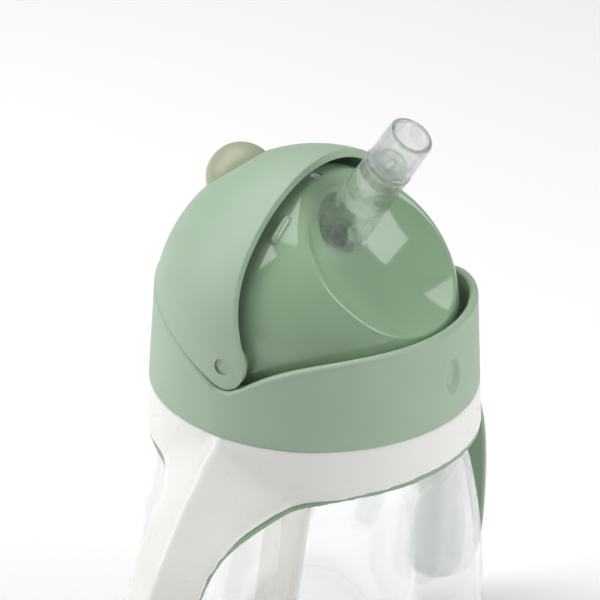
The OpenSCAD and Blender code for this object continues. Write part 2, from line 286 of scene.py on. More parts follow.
def see_through(name, color, rim_color, roughness, ior, alpha, ripple_mm, through=1.0):
    """Clear moulding: tinted where it is seen edge-on, with faint flow ripples."""
    material, node = principled(name, color, roughness, Transmission_Weight=through, IOR=ior)
    nodes, links = material.node_tree.nodes, material.node_tree.links
    facing = nodes.new("ShaderNodeLayerWeight")
    facing.inputs["Blend"].default_value = 0.35
    tint = nodes.new("ShaderNodeValToRGB")
    tint.color_ramp.elements[0].color = (*color, 1)
    tint.color_ramp.elements[1].color = (*rim_color, 1)
    tint.color_ramp.elements[0].position = 0.35
    links.new(facing.outputs["Facing"], tint.inputs["Fac"])
    links.new(tint.outputs["Color"], node.inputs["Base Color"])
    gloss = noise(material, CLEAR_GLOSS_SCALE, 2)
    vary_roughness(material, node, gloss, roughness * 0.7, roughness * 1.3)
    bump(material, node, noise(material, RIPPLE_SCALE, 1), ripple_mm)
    node.inputs["Alpha"].default_value = alpha
    return material


clear_plastic = see_through(
    "clear_plastic",
    color=(0.97, 0.98, 0.985),
    rim_color=(0.86, 0.90, 0.91),
    roughness=0.03,
    ior=1.45,
    alpha=0.50,
    ripple_mm=0.004,
)
clear_silicone = see_through(
    "clear_silicone",
    color=(0.99, 1.0, 1.0),
    rim_color=(0.76, 0.84, 0.89),
    roughness=0.03,
    ior=1.36,
    alpha=0.62,
    ripple_mm=0.03,
)
cream_tube = see_through(
    "cream_tube",
    color=(0.97, 0.94, 0.89),
    rim_color=(0.80, 0.79, 0.74),
    roughness=0.12,
    ior=1.30,
    alpha=0.55,
    ripple_mm=0.004,
    through=0.8,
)

# ---------------------------------------------------------------- mesh helpers


def grid_faces(rows, cols, wrap_rows=False, wrap_cols=False):
    """Quads of a grid of points stored row by row."""
    faces = []
    for i in range(rows if wrap_rows else rows - 1):
        for j in range(cols if wrap_cols else cols - 1):
            a = i * cols + j
            b = i * cols + (j + 1) % cols
            c = (i + 1) % rows * cols + (j + 1) % cols
            d = (i + 1) % rows * cols + j
            faces.append((a, b, c, d))
    return faces


def joined(*parts):
    """Several (points, faces) as one."""
    points, faces, base = [], [], 0
    for p, f in parts:
        points.append(np.asarray(p, float))
        faces += [tuple(base + i for i in face) for face in f]
        base += len(p)
    return np.concatenate(points), faces


def revolve(profile, n=96, closed=True):
    """Turns [radius, height] points about Z; an open profile that starts or ends on Z closes there."""
    profile = np.asarray(profile, float)
    turn = np.arange(n) * 2 * math.pi / n
    r, z = profile[:, 0][:, None], profile[:, 1][:, None]
    points = np.stack([r * np.cos(turn), r * np.sin(turn), z + 0 * turn], -1).reshape(-1, 3)
    return points, grid_faces(len(profile), n, wrap_rows=closed, wrap_cols=True)


def rounded(corners, steps=5, closed=True):
    """A polyline with its corners [x, y, radius] turned into arcs of steps + 1 points."""
    corners = [np.array(c, float) for c in corners]
    out = []
    for i, c in enumerate(corners):
        p, radius = c[:2], c[2]
        if radius == 0 or (not closed and i in (0, len(corners) - 1)):
            out += [p] * (1 if not closed else steps + 1)
            continue
        to_a = corners[i - 1][:2] - p
        to_b = corners[(i + 1) % len(corners)][:2] - p
        len_a, len_b = np.linalg.norm(to_a), np.linalg.norm(to_b)
        ua, ub = to_a / len_a, to_b / len_b
        half = math.acos(np.clip(ua @ ub, -1, 1)) / 2
        reach = min(radius / math.tan(half), 0.49 * len_a, 0.49 * len_b)
        radius = reach * math.tan(half)
        centre = p + (ua + ub) / np.linalg.norm(ua + ub) * radius / math.sin(half)
        start, end = p + ua * reach - centre, p + ub * reach - centre
        a0, a1 = math.atan2(start[1], start[0]), math.atan2(end[1], end[0])
        swing = (a1 - a0 + math.pi) % (2 * math.pi) - math.pi
        for k in range(steps + 1):
            a = a0 + swing * k / steps
            out.append(centre + radius * np.array([math.cos(a), math.sin(a)]))
    return np.array(out)


def tilted(points, at, angle):
    """Points made round Z, tilted forward about X and moved to a place."""
    c, s = math.cos(angle), math.sin(angle)
    turn = np.array([[1, 0, 0], [0, c, -s], [0, s, c]])
    return np.asarray(points, float) @ turn.T + np.asarray(at, float)


def along_x(points, x0, side):
    """Points made round Z, laid along X from the pivot line, outward to the side asked for."""
    p = np.asarray(points, float)
    return np.stack([side * (x0 + p[:, 2]), p[:, 1], PIVOT_Z + side * p[:, 0]], -1)


def add_piece(name, shape, *materials, sharp_deg=50):
    """A smooth-shaded object from (points, faces), its doubled points merged and its normals outward."""
    points, faces = shape
    mesh = bpy.data.meshes.new(name)
    mesh.from_pydata((np.asarray(points) * MM).tolist(), [], faces)
    tidy = bmesh_of(mesh)
    bmesh.ops.remove_doubles(tidy, verts=tidy.verts, dist=1e-7)
    bmesh.ops.dissolve_degenerate(tidy, edges=tidy.edges, dist=1e-8)
    bmesh.ops.recalc_face_normals(tidy, faces=tidy.faces)
    tidy.to_mesh(mesh)
    tidy.free()
    piece = bpy.data.objects.new(name, mesh)
    bpy.context.scene.collection.objects.link(piece)
    for material in materials:
        mesh.materials.append(material)
    shade_smooth(mesh, sharp_deg)
    return piece


def bmesh_of(mesh):
    made = bmesh.new()
    made.from_mesh(mesh)
    return made


def shade_smooth(mesh, sharp_deg):
    mesh.polygons.foreach_set("use_smooth", [True] * len(mesh.polygons))
    mesh.set_sharp_from_angle(angle=math.radians(sharp_deg))


def apply_modifiers(piece, sharp_deg=50):
    """Fixes the modified shape in the piece's own mesh."""
    shown = piece.evaluated_get(bpy.context.evaluated_depsgraph_get())
    mesh = bpy.data.meshes.new_from_object(shown)
    piece.modifiers.clear()
    piece.data = mesh
    shade_smooth(mesh, sharp_deg)


def carve(piece, cutter_shape):
    """Cuts a closed shape out of a piece."""
    cutter = add_piece("cutter", cutter_shape)
    cut = piece.modifiers.new("cut", "BOOLEAN")
    cut.object, cut.operation, cut.solver = cutter, "DIFFERENCE", "EXACT"
    cut.use_self = True
    apply_modifiers(piece)
    bpy.data.objects.remove(cutter)


def bevel(piece, width_mm, segments, angle_deg, material=None):
    edge = piece.modifiers.new("bevel", "BEVEL")
    edge.width = width_mm * MM
    edge.segments = segments
    edge.limit_method = "ANGLE"
    edge.angle_limit = math.radians(angle_deg)
    if material is not None:
        edge.material = material


def placed(piece, body, slot, *nodes):
    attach(piece, body)
    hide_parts(*nodes)


# ---------------------------------------------------------------- bottle


def thread(wall_r, z0, turns, side):
    """A helical ridge on a wall, its ends run out into the wall; side is 1 on an outside, -1 in a bore."""
    n = round(turns * THREAD_STEPS)
    root = -0.4
    rows = []
    for i in range(n + 1):
        a = 2 * math.pi * i / THREAD_STEPS
        rise = THREAD_H * smoothstep(min(i, n - i), 0, 5)
        section = (
            (root, -0.5),
            (rise * 0.8, -0.36),
            (rise, -0.2),
            (rise, 0.2),
            (rise * 0.8, 0.36),
            (root, 0.5),
        )
        for out, up in section:
            r = wall_r + side * out
            z = z0 + THREAD_LEAD * i / THREAD_STEPS + up * THREAD_W
            rows.append([r * math.cos(a), r * math.sin(a), z])
    faces = grid_faces(n + 1, 6, wrap_cols=True)
    faces += [tuple(range(6))[::-1], tuple(6 * n + k for k in range(6))]
    return rows, faces


def barrel_side(inset, z0, foot_round):
    """The side of the body from its foot to the shoulder: a rounded foot and one long arc."""
    r = SIDE_ARC_R - inset
    centre = np.array([BELLY_R - SIDE_ARC_R, BELLY_Z])
    foot_z = z0 + foot_round
    foot = np.array([centre[0] + math.sqrt((r - foot_round) ** 2 - (foot_z - BELLY_Z) ** 2), foot_z])
    low = math.atan2(*(foot - centre)[::-1])
    high = math.asin((BARREL_TOP_Z - BELLY_Z) / r)
    foot_turn = np.linspace(-math.pi / 2, low, 12)
    side_turn = np.linspace(low, high, 60)[1:]
    return np.concatenate(
        [
            foot + foot_round * np.stack([np.cos(foot_turn), np.sin(foot_turn)], -1),
            centre + r * np.stack([np.cos(side_turn), np.sin(side_turn)], -1),
        ]
    )


def neck_outline():
    """Shoulder and neck, outside and then inside; the ends only aim the first and last bend."""
    outline = rounded(
        [
            [36.0, 69.0, 0],
            [SHOULDER_R, SHOULDER_Z, 1.6],
            [NECK_R, SHOULDER_Z, 0.8],
            [NECK_R, NECK_Z, 0.6],
            [NECK_IN_R, NECK_Z, 0.6],
            [NECK_IN_R, SHOULDER_Z, 3.0],
            [34.2, 69.5, 0],
        ],
        closed=False,
    )
    return outline[1:-1]


def bottle_section():
    """Half the body's section, from the middle of the base up the outside and down the inside."""
    base = rounded(
        [[0, RECESS_H, 0], [RECESS_R, RECESS_H, 0.6], [RECESS_R + 0.9, 0, 0.6], [30, 0, 0]], closed=False
    )
    floor = [[28, 2.45], [14, 2.7], [0, 2.8]]
    return np.concatenate(
        [base[:-1], barrel_side(0, 0, 7.0), neck_outline(), barrel_side(WALL, 2.4, 5.2)[::-1], floor]
    )


body = add_piece(
    "clear_body",
    joined(revolve(bottle_section(), 160, closed=False), thread(NECK_R, NECK_THREAD_Z, 0.9, 1)),
    clear_plastic,
)
placed(body, "bottle", "clear_body", "bottle_body")

# ---------------------------------------------------------------- ring, handles and lining


def collar_wall(z):
    return COLLAR_R - COLLAR_TAPER * (z - SEAM_Z)


def band_edge(turn):
    """Height of the band's lower edge at an angle round the bottle, in radians."""
    from_handle = np.degrees(np.arccos(np.abs(np.cos(turn))))
    return np.interp(from_handle, BAND_EDGE[:, 0], BAND_EDGE[:, 1])


def band(z_top, drop, r_out_low, r_out_top):
    """A band round the body, its lower edge up to drop below band_edge; no z_top makes it a narrow lip."""
    n = 240
    turn = np.arange(n) * 2 * math.pi / n
    edge = band_edge(turn)
    from_handle = np.degrees(np.arccos(np.abs(np.cos(turn))))
    low = edge - drop * (0.4 + 0.6 * smoothstep(from_handle, 35, 85))
    top = np.full(n, z_top) if z_top else edge + HIDDEN
    corners = ((BAND_IN_R, top), (BAND_IN_R, low), (r_out_low, low), (r_out_top, top))
    rows = [np.stack([r * np.cos(turn), r * np.sin(turn), z], -1) for r, z in corners]
    return np.concatenate(rows), grid_faces(len(rows), n, wrap_rows=True, wrap_cols=True)


def spline(table, n):
    """Points along a Catmull-Rom curve through the rows of a table, evenly spaced by chord."""
    padded = np.concatenate([[2 * table[0] - table[1]], table, [2 * table[-1] - table[-2]]])
    chord = np.concatenate([[0], np.cumsum(np.linalg.norm(np.diff(table[:, :4], axis=0), axis=1))])
    rows = []
    for d in np.linspace(0, chord[-1], n):
        i = min(np.searchsorted(chord, d, side="right") - 1, len(table) - 2)
        t = (d - chord[i]) / (chord[i + 1] - chord[i])
        p0, p1, p2, p3 = padded[i : i + 4]
        square = 2 * p0 - 5 * p1 + 4 * p2 - p3
        cube = 3 * p1 - p0 - 3 * p2 + p3
        rows.append(0.5 * (2 * p1 + (p2 - p0) * t + square * t**2 + cube * t**3))
    return np.array(rows)


def handle_loft(outer):
    """One handle on +X: the white outside, or the soft lining inside it, its lower end closed round."""
    stations = spline(HANDLE, 110)
    across = np.linspace(-1, 1, 21)
    closing_stations = 7
    edge_share = 0.16
    bulge = edge_share + (1 - edge_share) * (1 - np.abs(across)) ** 0.92
    rows = []
    for i, (pr, pz, rr, rz, half) in enumerate(stations):
        left = (len(stations) - 1 - i) / closing_stations
        close = math.sqrt(max(0.02, 1 - max(0, 1 - left) ** 2))
        part, ridge = np.array([pr, pz]), np.array([rr, rz])
        reach = ridge - part
        inward = -reach / np.linalg.norm(reach)
        half = half * (0.45 + 0.55 * close)
        if outer:
            bow = [part + reach * close * share for share in bulge]
        else:
            bow = [part + inward * close * (EDGE_T + (GRIP_T - EDGE_T) * (1 - a * a)) for a in across]
            part = part - inward * HIDDEN
            half -= 0.2
        rows += [[p[0], a * half, p[1]] for p, a in zip(bow, across)]
        rows += [[part[0], a * half, part[1]] for a in across[::-1]]
    points = np.array(rows)
    reach_r = np.hypot(points[:, 0], points[:, 1])
    grow = np.maximum(reach_r, BAND_IN_R) / reach_r
    points[:, :2] *= grow[:, None]
    m = 2 * len(across)
    faces = grid_faces(len(stations), m, wrap_cols=True)
    faces += [tuple(range(m))[::-1], tuple(m * (len(stations) - 1) + k for k in range(m))]
    return points, faces


def mirrored(shape):
    points, faces = shape
    return np.asarray(points) * [-1, 1, 1], [f[::-1] for f in faces]


def remesh(piece, voxel_mm):
    modifier = piece.modifiers.new("remesh", "REMESH")
    modifier.mode = "VOXEL"
    modifier.voxel_size = voxel_mm * MM
    apply_modifiers(piece, 180)


def soften(piece, rounds, share_of, back=-0.5):
    """Smooths a mesh by steps forth and back, where back=0 lets it shrink; share_of scales them by place."""
    mesh = piece.data
    n = len(mesh.vertices)
    co = np.empty(3 * n)
    mesh.vertices.foreach_get("co", co)
    co = co.reshape(-1, 3)
    edges = np.empty(2 * len(mesh.edges), np.int64)
    mesh.edges.foreach_get("vertices", edges)
    a, b = edges[0::2], edges[1::2]
    count = np.bincount(a, minlength=n) + np.bincount(b, minlength=n)
    forth = 0.6
    for step in range(2 * rounds):
        share = share_of(co / MM) * (forth if step % 2 == 0 else back)
        mean = np.stack(
            [
                np.bincount(a, co[b, k], minlength=n) + np.bincount(b, co[a, k], minlength=n)
                for k in range(3)
            ],
            -1,
        ) / count[:, None]
        co = co + share[:, None] * (mean - co)
    mesh.vertices.foreach_set("co", co.ravel())
    mesh.update()


def away_from_seam(p):
    """1 below the collar's seam, 0.1 at it, so that the seam stays put."""
    return 1 - 0.9 * smoothstep(p[:, 2], SEAM_Z - 1.6, SEAM_Z - 0.6)


def handle_root(p):
    """1 where a handle grows out of the ring, less along the handle, 0 on the ring's other faces."""
    out = np.abs(p[:, 0])
    near = smoothstep(out, 28, 34) * (1 - smoothstep(out, 43, 52))
    outside = smoothstep(np.hypot(p[:, 0], p[:, 1]), BAND_IN_R + 0.9, BAND_IN_R + 1.9)
    return np.maximum(near, 0.16 * smoothstep(out, 40, 50)) * outside * away_from_seam(p)


white_loft = handle_loft(True)
ring = add_piece(
    "ring_and_handles",
    joined(band(SEAM_Z, 0, BAND_FOOT_R, COLLAR_R), white_loft, mirrored(white_loft)),
    white,
)
remesh(ring, 0.5)
soften(ring, 14, away_from_seam)
soften(ring, 46, handle_root, back=0)
placed(ring, "bottle", "white_frame", "handle_frame")

green_loft = handle_loft(False)
lining = add_piece(
    "soft_lining",
    joined(band(None, LINING_T * 0.85, 38.35, 38.3), green_loft, mirrored(green_loft)),
    soft_sage,
)
remesh(lining, 0.4)
soften(lining, 5, lambda p: np.ones(len(p)))
placed(lining, "bottle", "lining_green", "handle_lining")

# ---------------------------------------------------------------- collar


def rim_height(forward):
    """Height of the collar's rim above the pivot at places in the side view."""
    f = np.asarray(forward, float)
    front = bezier(RIM_FRONT, np.linspace(0, 1, 60))
    back = bezier(HOOD_BACK, np.linspace(0, 1, 60))[::-1]
    notch = -np.sqrt(np.maximum(0, (LUG_R + 0.35) ** 2 - f**2))
    high_front = np.interp(f, front[:, 0], front[:, 1])
    high_back = np.interp(f, back[:, 0], back[:, 1] - LIP_GAP)
    height = np.where(f > RIM_FRONT[0][0], high_front, np.where(f < HOOD_BACK[0][0], high_back, notch))
    return np.where(np.abs(f) < LUG_R, np.minimum(height, notch), height)


def collar_shape():
    """The collar's wall, its rim following rim_height, with a plain oval mark pressed into the front."""
    n = 480
    lip, inner_lip = 1.05, 0.75
    columns = []
    for k in range(n):
        turn = 2 * math.pi * k / n
        forward = math.cos(turn)
        z_out = PIVOT_Z + float(rim_height(forward * (COLLAR_R - 0.9)))
        z_in = PIVOT_Z + float(rim_height(forward * COLLAR_IN_R))
        section = rounded(
            [
                [collar_wall(z_out), z_out, lip],
                [COLLAR_IN_R, z_in, inner_lip],
                [COLLAR_IN_R, SEAM_Z, 0.3],
                [COLLAR_R, SEAM_Z, 0.3],
            ],
            steps=6,
        )
        wall_rows = np.linspace(0, 1, 34)[1:-1, None]
        outer = section[-1] + (section[0] - section[-1]) * wall_rows
        section = np.concatenate([section, outer])
        r, z = section.T
        columns.append(np.stack([r * math.sin(turn), -r * math.cos(turn), z], -1))
    points = np.array(columns)
    rows = points.shape[1]
    flat = points.reshape(-1, 3)
    off_mark = np.hypot(flat[:, 0] / MARK_HALF_W, (flat[:, 2] - MARK_Z) / MARK_HALF_H)
    outside = np.hypot(flat[:, 0], flat[:, 1]) > COLLAR_R - 1.6
    flat[:, 1] += MARK_DEPTH * (1 - smoothstep(off_mark, 0.55, 1.0)) * outside * (flat[:, 1] < 0)
    return flat, grid_faces(n, rows, wrap_rows=True, wrap_cols=True)


web = revolve(
    rounded(
        [
            [WEB_IN_R, WEB_Z, 0.3],
            [WEB_OUT_R, WEB_Z, 0.05],
            [WEB_OUT_R, WEB_TOP, 0.05],
            [WEB_IN_R, WEB_TOP, 0.3],
        ],
        3,
    ),
    160,
)
collar_thread = thread(COLLAR_IN_R, COLLAR_THREAD_Z, 0.8, -1)
collar = add_piece("collar", joined(collar_shape(), web, collar_thread), matt_sage)
placed(collar, "lid", "collar_green", "screw_collar")

# ---------------------------------------------------------------- dome


def ball_at(centre_w, radius, angle):
    """[radius, height] on a ball centred on the scoop's axis, at angles off that axis."""
    return np.stack([radius * np.sin(angle), centre_w + radius * np.cos(angle)], -1)


def crest(width, n):
    """The scoop and the rounding of its edge, and the angle off its axis where the ball takes over."""
    in_a = math.asin(SCOOP_R / CAP_R) - width / CAP_R
    out_a = math.asin(SCOOP_R / DOME_R) + width / DOME_R
    start = np.array([CAP_R * math.sin(in_a), CAP_W - CAP_R * math.cos(in_a)])
    end = ball_at(0, DOME_R, out_a)
    rise = np.array([math.cos(in_a), math.sin(in_a)])
    fall = np.array([math.cos(out_a), -math.sin(out_a)])
    reach = np.linalg.solve(np.stack([rise, -fall], -1), end - start)[0]
    corner = start + reach * rise
    t = np.linspace(0, 1, n)[:, None]
    rounding = (1 - t) ** 2 * start + 2 * t * (1 - t) * corner + t**2 * end
    turn = np.linspace(0, in_a, 60)[:-1]
    dish = np.stack([CAP_R * np.sin(turn), CAP_W - CAP_R * np.cos(turn)], -1)
    return np.concatenate([dish, rounding]), out_a


def inner_rows():
    """The dome's inner side under the scoop, up to where it meets the inner ball."""
    turn = np.linspace(0, 1.2, 600)
    rows = np.stack([(CAP_R + DOME_T) * np.sin(turn), CAP_W - (CAP_R + DOME_T) * np.cos(turn)], -1)
    meet = np.argmax(np.hypot(*rows.T) > DOME_R - DOME_T)
    return rows[np.linspace(0, meet, 26).astype(int)]


def ball_rows(radius, start, psi, floor_z, n):
    """Along the ball from angles off the scoop's axis down to a level, for each direction round the axis."""
    c, s = math.cos(SCOOP_TILT), math.sin(SCOOP_TILT)
    rows = np.empty((n, len(psi), 2))
    for k, p in enumerate(psi):
        lift = -s * math.cos(p)
        reach = math.hypot(c, lift)
        level = np.clip((floor_z - PIVOT_Z) / (radius * reach), -1, 1)
        end = math.acos(level) + math.atan2(lift, c)
        rows[:, k] = ball_at(0, radius, np.linspace(start[k], end, n))
    return rows


def dome_shape():
    """The dome's shell, made round the scoop's axis; its crease is crisp in front and soft at the back."""
    n = 300
    psi = 2 * math.pi * np.arange(n) / n
    off_front = np.degrees(np.arccos(np.cos(psi)))
    widths = CREASE_CRISP + (CREASE_SOFT - CREASE_CRISP) * smoothstep(off_front, 62, 170)
    crests = [crest(w, 14) for w in widths]
    out_rows = np.stack([rows for rows, _ in crests], 1)
    inner = inner_rows()
    in_rows = np.repeat(inner[:, None], n, 1)
    ball_out = ball_rows(DOME_R, [a for _, a in crests], psi, DOME_FOOT_Z, 64)[1:]
    ball_in = ball_rows(DOME_R - DOME_T, [math.atan2(*inner[-1])] * n, psi, DOME_FOOT_Z, 34)[1:]
    rows = np.concatenate([out_rows, ball_out, ball_in[::-1], in_rows[::-1]])
    r, w = rows[..., 0], rows[..., 1]
    local = np.stack([r * np.sin(psi), -r * np.cos(psi), w], -1)
    points = tilted(local.reshape(-1, 3), [0, 0, PIVOT_Z], SCOOP_TILT)
    top = len(out_rows) * n
    points[:top] = press_seat(points[:top])
    return points, grid_faces(len(rows), n, wrap_cols=True)


def press_seat(points):
    """Presses the round seat of the spout's foot into the scoop."""
    rel = points - SPOUT_FOOT
    c, s = math.cos(SPOUT_TILT), math.sin(SPOUT_TILT)
    back = np.array([0, c, s])
    h, u, v = rel @ SPOUT_DIR, rel[:, 0], rel @ back
    out = np.hypot(u, v)
    pressed = np.minimum(h, SEAT_S)
    h_new = h + (pressed - h) * (1 - smoothstep(out, SEAT_R - 0.35, SEAT_R + 0.25))
    return points + (h_new - h)[:, None] * SPOUT_DIR


def rib_shape(side):
    """A detent rib: a short raised bar along the dome."""
    n, m = 24, 20
    rows = []
    for i in range(n + 1):
        u = -1 + 2 * i / n
        a = RIB_LEAN + u * RIB_ARC / 2
        fat = RIB_FAT * math.sqrt(max(0.0004, 1 - abs(u) ** 6))
        out = np.array([math.sin(a), 0, math.cos(a)])
        for j in range(m):
            b = 2 * math.pi * j / m
            p = out * (DOME_R - 0.15 + fat * math.cos(b)) + np.array([0, fat * math.sin(b) - RIB_FRONT, 0])
            rows.append([side * p[0], p[1], PIVOT_Z + p[2]])
    faces = grid_faces(n + 1, m, wrap_cols=True)
    faces += [tuple(range(m))[::-1], tuple(m * n + k for k in range(m))]
    return rows, faces


def boss_shape(side):
    """The round boss inside the dome that holds a pivot pin."""
    profile = rounded([[0, 0, 0], [BOSS_R, 0, 0.1], [BOSS_R, BOSS_L, 0.3], [0, BOSS_L, 0]], 3, closed=False)
    points, faces = revolve(profile, 48, closed=False)
    return along_x(points, DOME_R - DOME_T - 1, side), faces


flange = revolve(
    rounded(
        [
            [WEB_IN_R, DOME_FOOT_Z, 0.2],
            [COLLAR_IN_R - 0.1, DOME_FOOT_Z, 0.2],
            [COLLAR_IN_R - 0.1, FLANGE_TOP, 0.3],
            [WEB_IN_R, FLANGE_TOP, 0.2],
        ],
        3,
    ),
    160,
)
dome = add_piece("dome", dome_shape(), gloss_sage)


def vent_cutter():
    """The vent's hole, wider at the top."""
    depth, mouth, above = 6.5, 0.9, 1.3
    corners = [[0, -depth, 0], [VENT_R, -depth, 0], [VENT_R, 0, 0], [VENT_R + mouth, above, 0], [0, above, 0]]
    profile = rounded(corners, 1, closed=False)
    points, faces = revolve(profile, 40, closed=False)
    top = PIVOT_Z + math.sqrt(DOME_R**2 - VENT_AT**2) - 0.25
    return points + [0, -VENT_AT, top], faces


def spout_cutter():
    """The hole below the spout's foot."""
    points, faces = revolve([[0, -9], [HOLE_R, -9], [HOLE_R, 2], [0, 2]], 72, closed=False)
    return tilted(points, SPOUT_FOOT, SPOUT_TILT), faces


carve(dome, joined(vent_cutter(), spout_cutter()))
trim = add_piece(
    "dome_trim",
    joined(flange, rib_shape(1), rib_shape(-1), boss_shape(1), boss_shape(-1)),
    gloss_sage,
)
placed(dome, "lid", "dome_green", "dome_cover")
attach(trim, "lid")

# ---------------------------------------------------------------- hood


def hood_edges(rho):
    """Angles of the hood's front and back edges in the side view, at distances from the pivot."""
    front = np.concatenate([[[0.1, 40]], bezier(HOOD_FRONT, np.linspace(0, 1, 60))])
    back = bezier(HOOD_BACK, np.linspace(0, 1, 60))
    front_r, back_r = np.hypot(*front.T), np.hypot(*back.T)
    front_a = np.arctan2(front[:, 1], front[:, 0])
    back_a = np.arctan2(back[:, 1], back[:, 0]) % (2 * math.pi)
    return np.interp(rho, front_r[::-1], front_a[::-1]), np.interp(rho, back_r, back_a)


def hood_patch():
    """The hood's outer skin: a strap over the ball between two round lugs, each with a hole for its pin."""
    rows, cols, low_cols = 130, 64, 26
    tilt = np.linspace(math.acos(LUG_R / HOOD_R), -math.acos(LUG_R / HOOD_R), rows)
    rho = HOOD_R * np.cos(tilt)
    front, back = hood_edges(rho)
    share = np.linspace(0, 1, cols)
    angle = front[:, None] + (back - front)[:, None] * share
    strap = np.stack(
        [
            np.repeat(HOOD_R * np.sin(tilt)[:, None], cols, 1),
            -rho[:, None] * np.cos(angle),
            PIVOT_Z + rho[:, None] * np.sin(angle),
        ],
        -1,
    ).reshape(-1, 3)
    shapes = [(strap, grid_faces(rows, cols))]
    under = np.linspace(back[0], front[0] + 2 * math.pi, low_cols + 2)[1:-1]
    full = np.concatenate([angle[0], under])
    for side in (1, -1):
        rings = np.linspace(PIN_HOLE_R, LUG_R, 7)
        lug = [
            [side * math.sqrt(HOOD_R**2 - r * r), -r * math.cos(a), PIVOT_Z + r * math.sin(a)]
            for r in rings
            for a in full
        ]
        shapes.append((lug, grid_faces(len(rings), len(full), wrap_cols=True)))
    return joined(*shapes)


hood = add_piece("hood", hood_patch(), matt_sage, lip_sage, sharp_deg=180)
shell = hood.modifiers.new("shell", "SOLIDIFY")
shell.thickness = HOOD_T * MM
shell.offset = -1
bevel(hood, 0.5, 4, 60, material=1)
placed(hood, "hood", "hood_green", "hood_cover")


def knob_shape():
    """A ball pressed into the hood, with a fine groove where it leaves the surface."""
    centre = np.linalg.norm(KNOB_AT)
    meet = math.acos((centre**2 + KNOB_R**2 - (HOOD_R - 0.05) ** 2) / (2 * centre * KNOB_R))
    turn = np.linspace(0, math.pi - meet, 40)
    ball = np.stack([KNOB_R * np.sin(turn), centre + KNOB_R * np.cos(turn)], -1)
    groove_r, groove_up = ball[-1] * [0.97, 1] - [0, 0.35]
    peg_r, peg_end = 3, HOOD_R - HOOD_T
    peg = [
        [groove_r, groove_up],
        [peg_r, groove_up - 0.1],
        [peg_r, peg_end + 0.25],
        [peg_r - 0.3, peg_end],
        [0, peg_end],
    ]
    points, faces = revolve(np.concatenate([ball, peg]), 96, closed=False)
    return tilted(points, [0, 0, PIVOT_Z], math.atan2(KNOB_AT[0], KNOB_AT[1])), faces


knob = add_piece("knob", knob_shape(), khaki)
placed(knob, "hood", "knob", "hood_knob")

# ---------------------------------------------------------------- spout and straw


def spout_r(s):
    """Outer radius along the spout: the foot's bulb, the tapered stem, and a ridge and groove round it."""
    s = np.asarray(s, float)
    stem = STEM_R - STEM_TAPER * np.maximum(s - FOLD_S, 0)
    bulb = np.sqrt(np.maximum(0, FOOT_R**2 - (s - BULB_S) ** 2))
    base = np.maximum(stem, np.where(s < BULB_END_S, bulb, 0))
    ridge = RIDGE_H * np.exp(-(((s - RIDGE_S) / 0.5) ** 2))
    groove = RIDGE_H * np.exp(-(((s - GROOVE_S) / 0.35) ** 2))
    return base + ridge - groove


def stretch(s0, s1):
    """Outer and inner [radius, s] points of the tube between two places along it."""
    s = np.linspace(s0, s1, round((s1 - s0) / 0.35) + 1)
    outer = np.stack([spout_r(s), s], -1)
    inner = np.stack([np.full(len(s), BORE_R), s], -1)
    return outer, inner


def revolved_on_spout(*profiles):
    """(profile, closed) pairs turned about the spout's axis."""
    made = [revolve(profile, 96, closed=closed) for profile, closed in profiles]
    return joined(*[(tilted(points, SPOUT_FOOT, SPOUT_TILT), faces) for points, faces in made])


CUT_A, CUT_B = 10.0, 19.0
foot_outer, foot_inner = stretch(SEAT_S, CUT_A)
lip = rounded(
    [[BORE_R, SEAT_S, 0], [foot_outer[0][0], SEAT_S, 0.3], [*foot_outer[2], 0]], 4, closed=False
)
foot_profile = np.concatenate([foot_inner[::-1], lip[1:-1], foot_outer[2:]])
neck_tube = rounded(
    [
        [BORE_R, -STRAW_DOWN, 0.1],
        [NECK_TUBE_R, -STRAW_DOWN, 0.1],
        [NECK_TUBE_R, NECK_TUBE_TOP, 0.3],
        [BORE_R, NECK_TUBE_TOP, 0.3],
    ],
    3,
)
straw_top = SPOUT_FOOT - STRAW_DOWN * SPOUT_DIR
sleeve_in, sleeve_out = STRAW_R + 0.02, STRAW_R + 1.1
sleeve_low, sleeve_top = -5, 0.4
sleeve_points, sleeve_faces = revolve(
    rounded(
        [
            [sleeve_in, sleeve_low, 0.2],
            [sleeve_out, sleeve_low, 0.4],
            [sleeve_out, sleeve_top, 0.4],
            [sleeve_in, sleeve_top, 0.2],
        ],
        4,
    ),
    72,
)
foot = add_piece(
    "spout_foot",
    joined(
        revolved_on_spout((foot_profile, False), (neck_tube, True)),
        (tilted(sleeve_points, straw_top, STRAW_LEAN), sleeve_faces),
    ),
    clear_silicone,
)
stem_outer, stem_inner = stretch(CUT_A, CUT_B)
stem_walls = revolved_on_spout((stem_outer, False), (stem_inner[::-1], False))
stem = add_piece("spout_stem", stem_walls, clear_silicone)
mouth_outer, mouth_inner = stretch(CUT_B, SPOUT_L - 0.8)
tip = rounded(
    [
        [*mouth_outer[-2], 0],
        [mouth_outer[-1][0], SPOUT_L, 0.5],
        [BORE_R, SPOUT_L, 0.5],
        [*mouth_inner[-2], 0],
    ],
    6,
    closed=False,
)
mouth_profile = np.concatenate([mouth_outer[:-1], tip[1:-1], mouth_inner[:-1][::-1]])


def mouth_wall():
    """A thin wall across the bore with a slot through it."""
    n, slot_l, slot_w = 64, 1.9, 0.55
    turn = 2 * math.pi * np.arange(n) / n
    c, s = np.cos(turn), np.sin(turn)
    size = (np.abs(c / slot_l) ** 4 + np.abs(s / slot_w) ** 4) ** -0.25
    rows = []
    for share, z in ((0, 0), (0.5, 0), (1, -0.1), (1, 1.1), (0.5, 0.9), (0, 0.9)):
        r = size + (BORE_R + 0.15 - size) * share
        rows.append(np.stack([r * c, r * s, CURL_S + z + 0 * c], -1))
    points = tilted(np.concatenate(rows), SPOUT_FOOT, SPOUT_TILT)
    return points, grid_faces(len(rows), n, wrap_rows=True, wrap_cols=True)


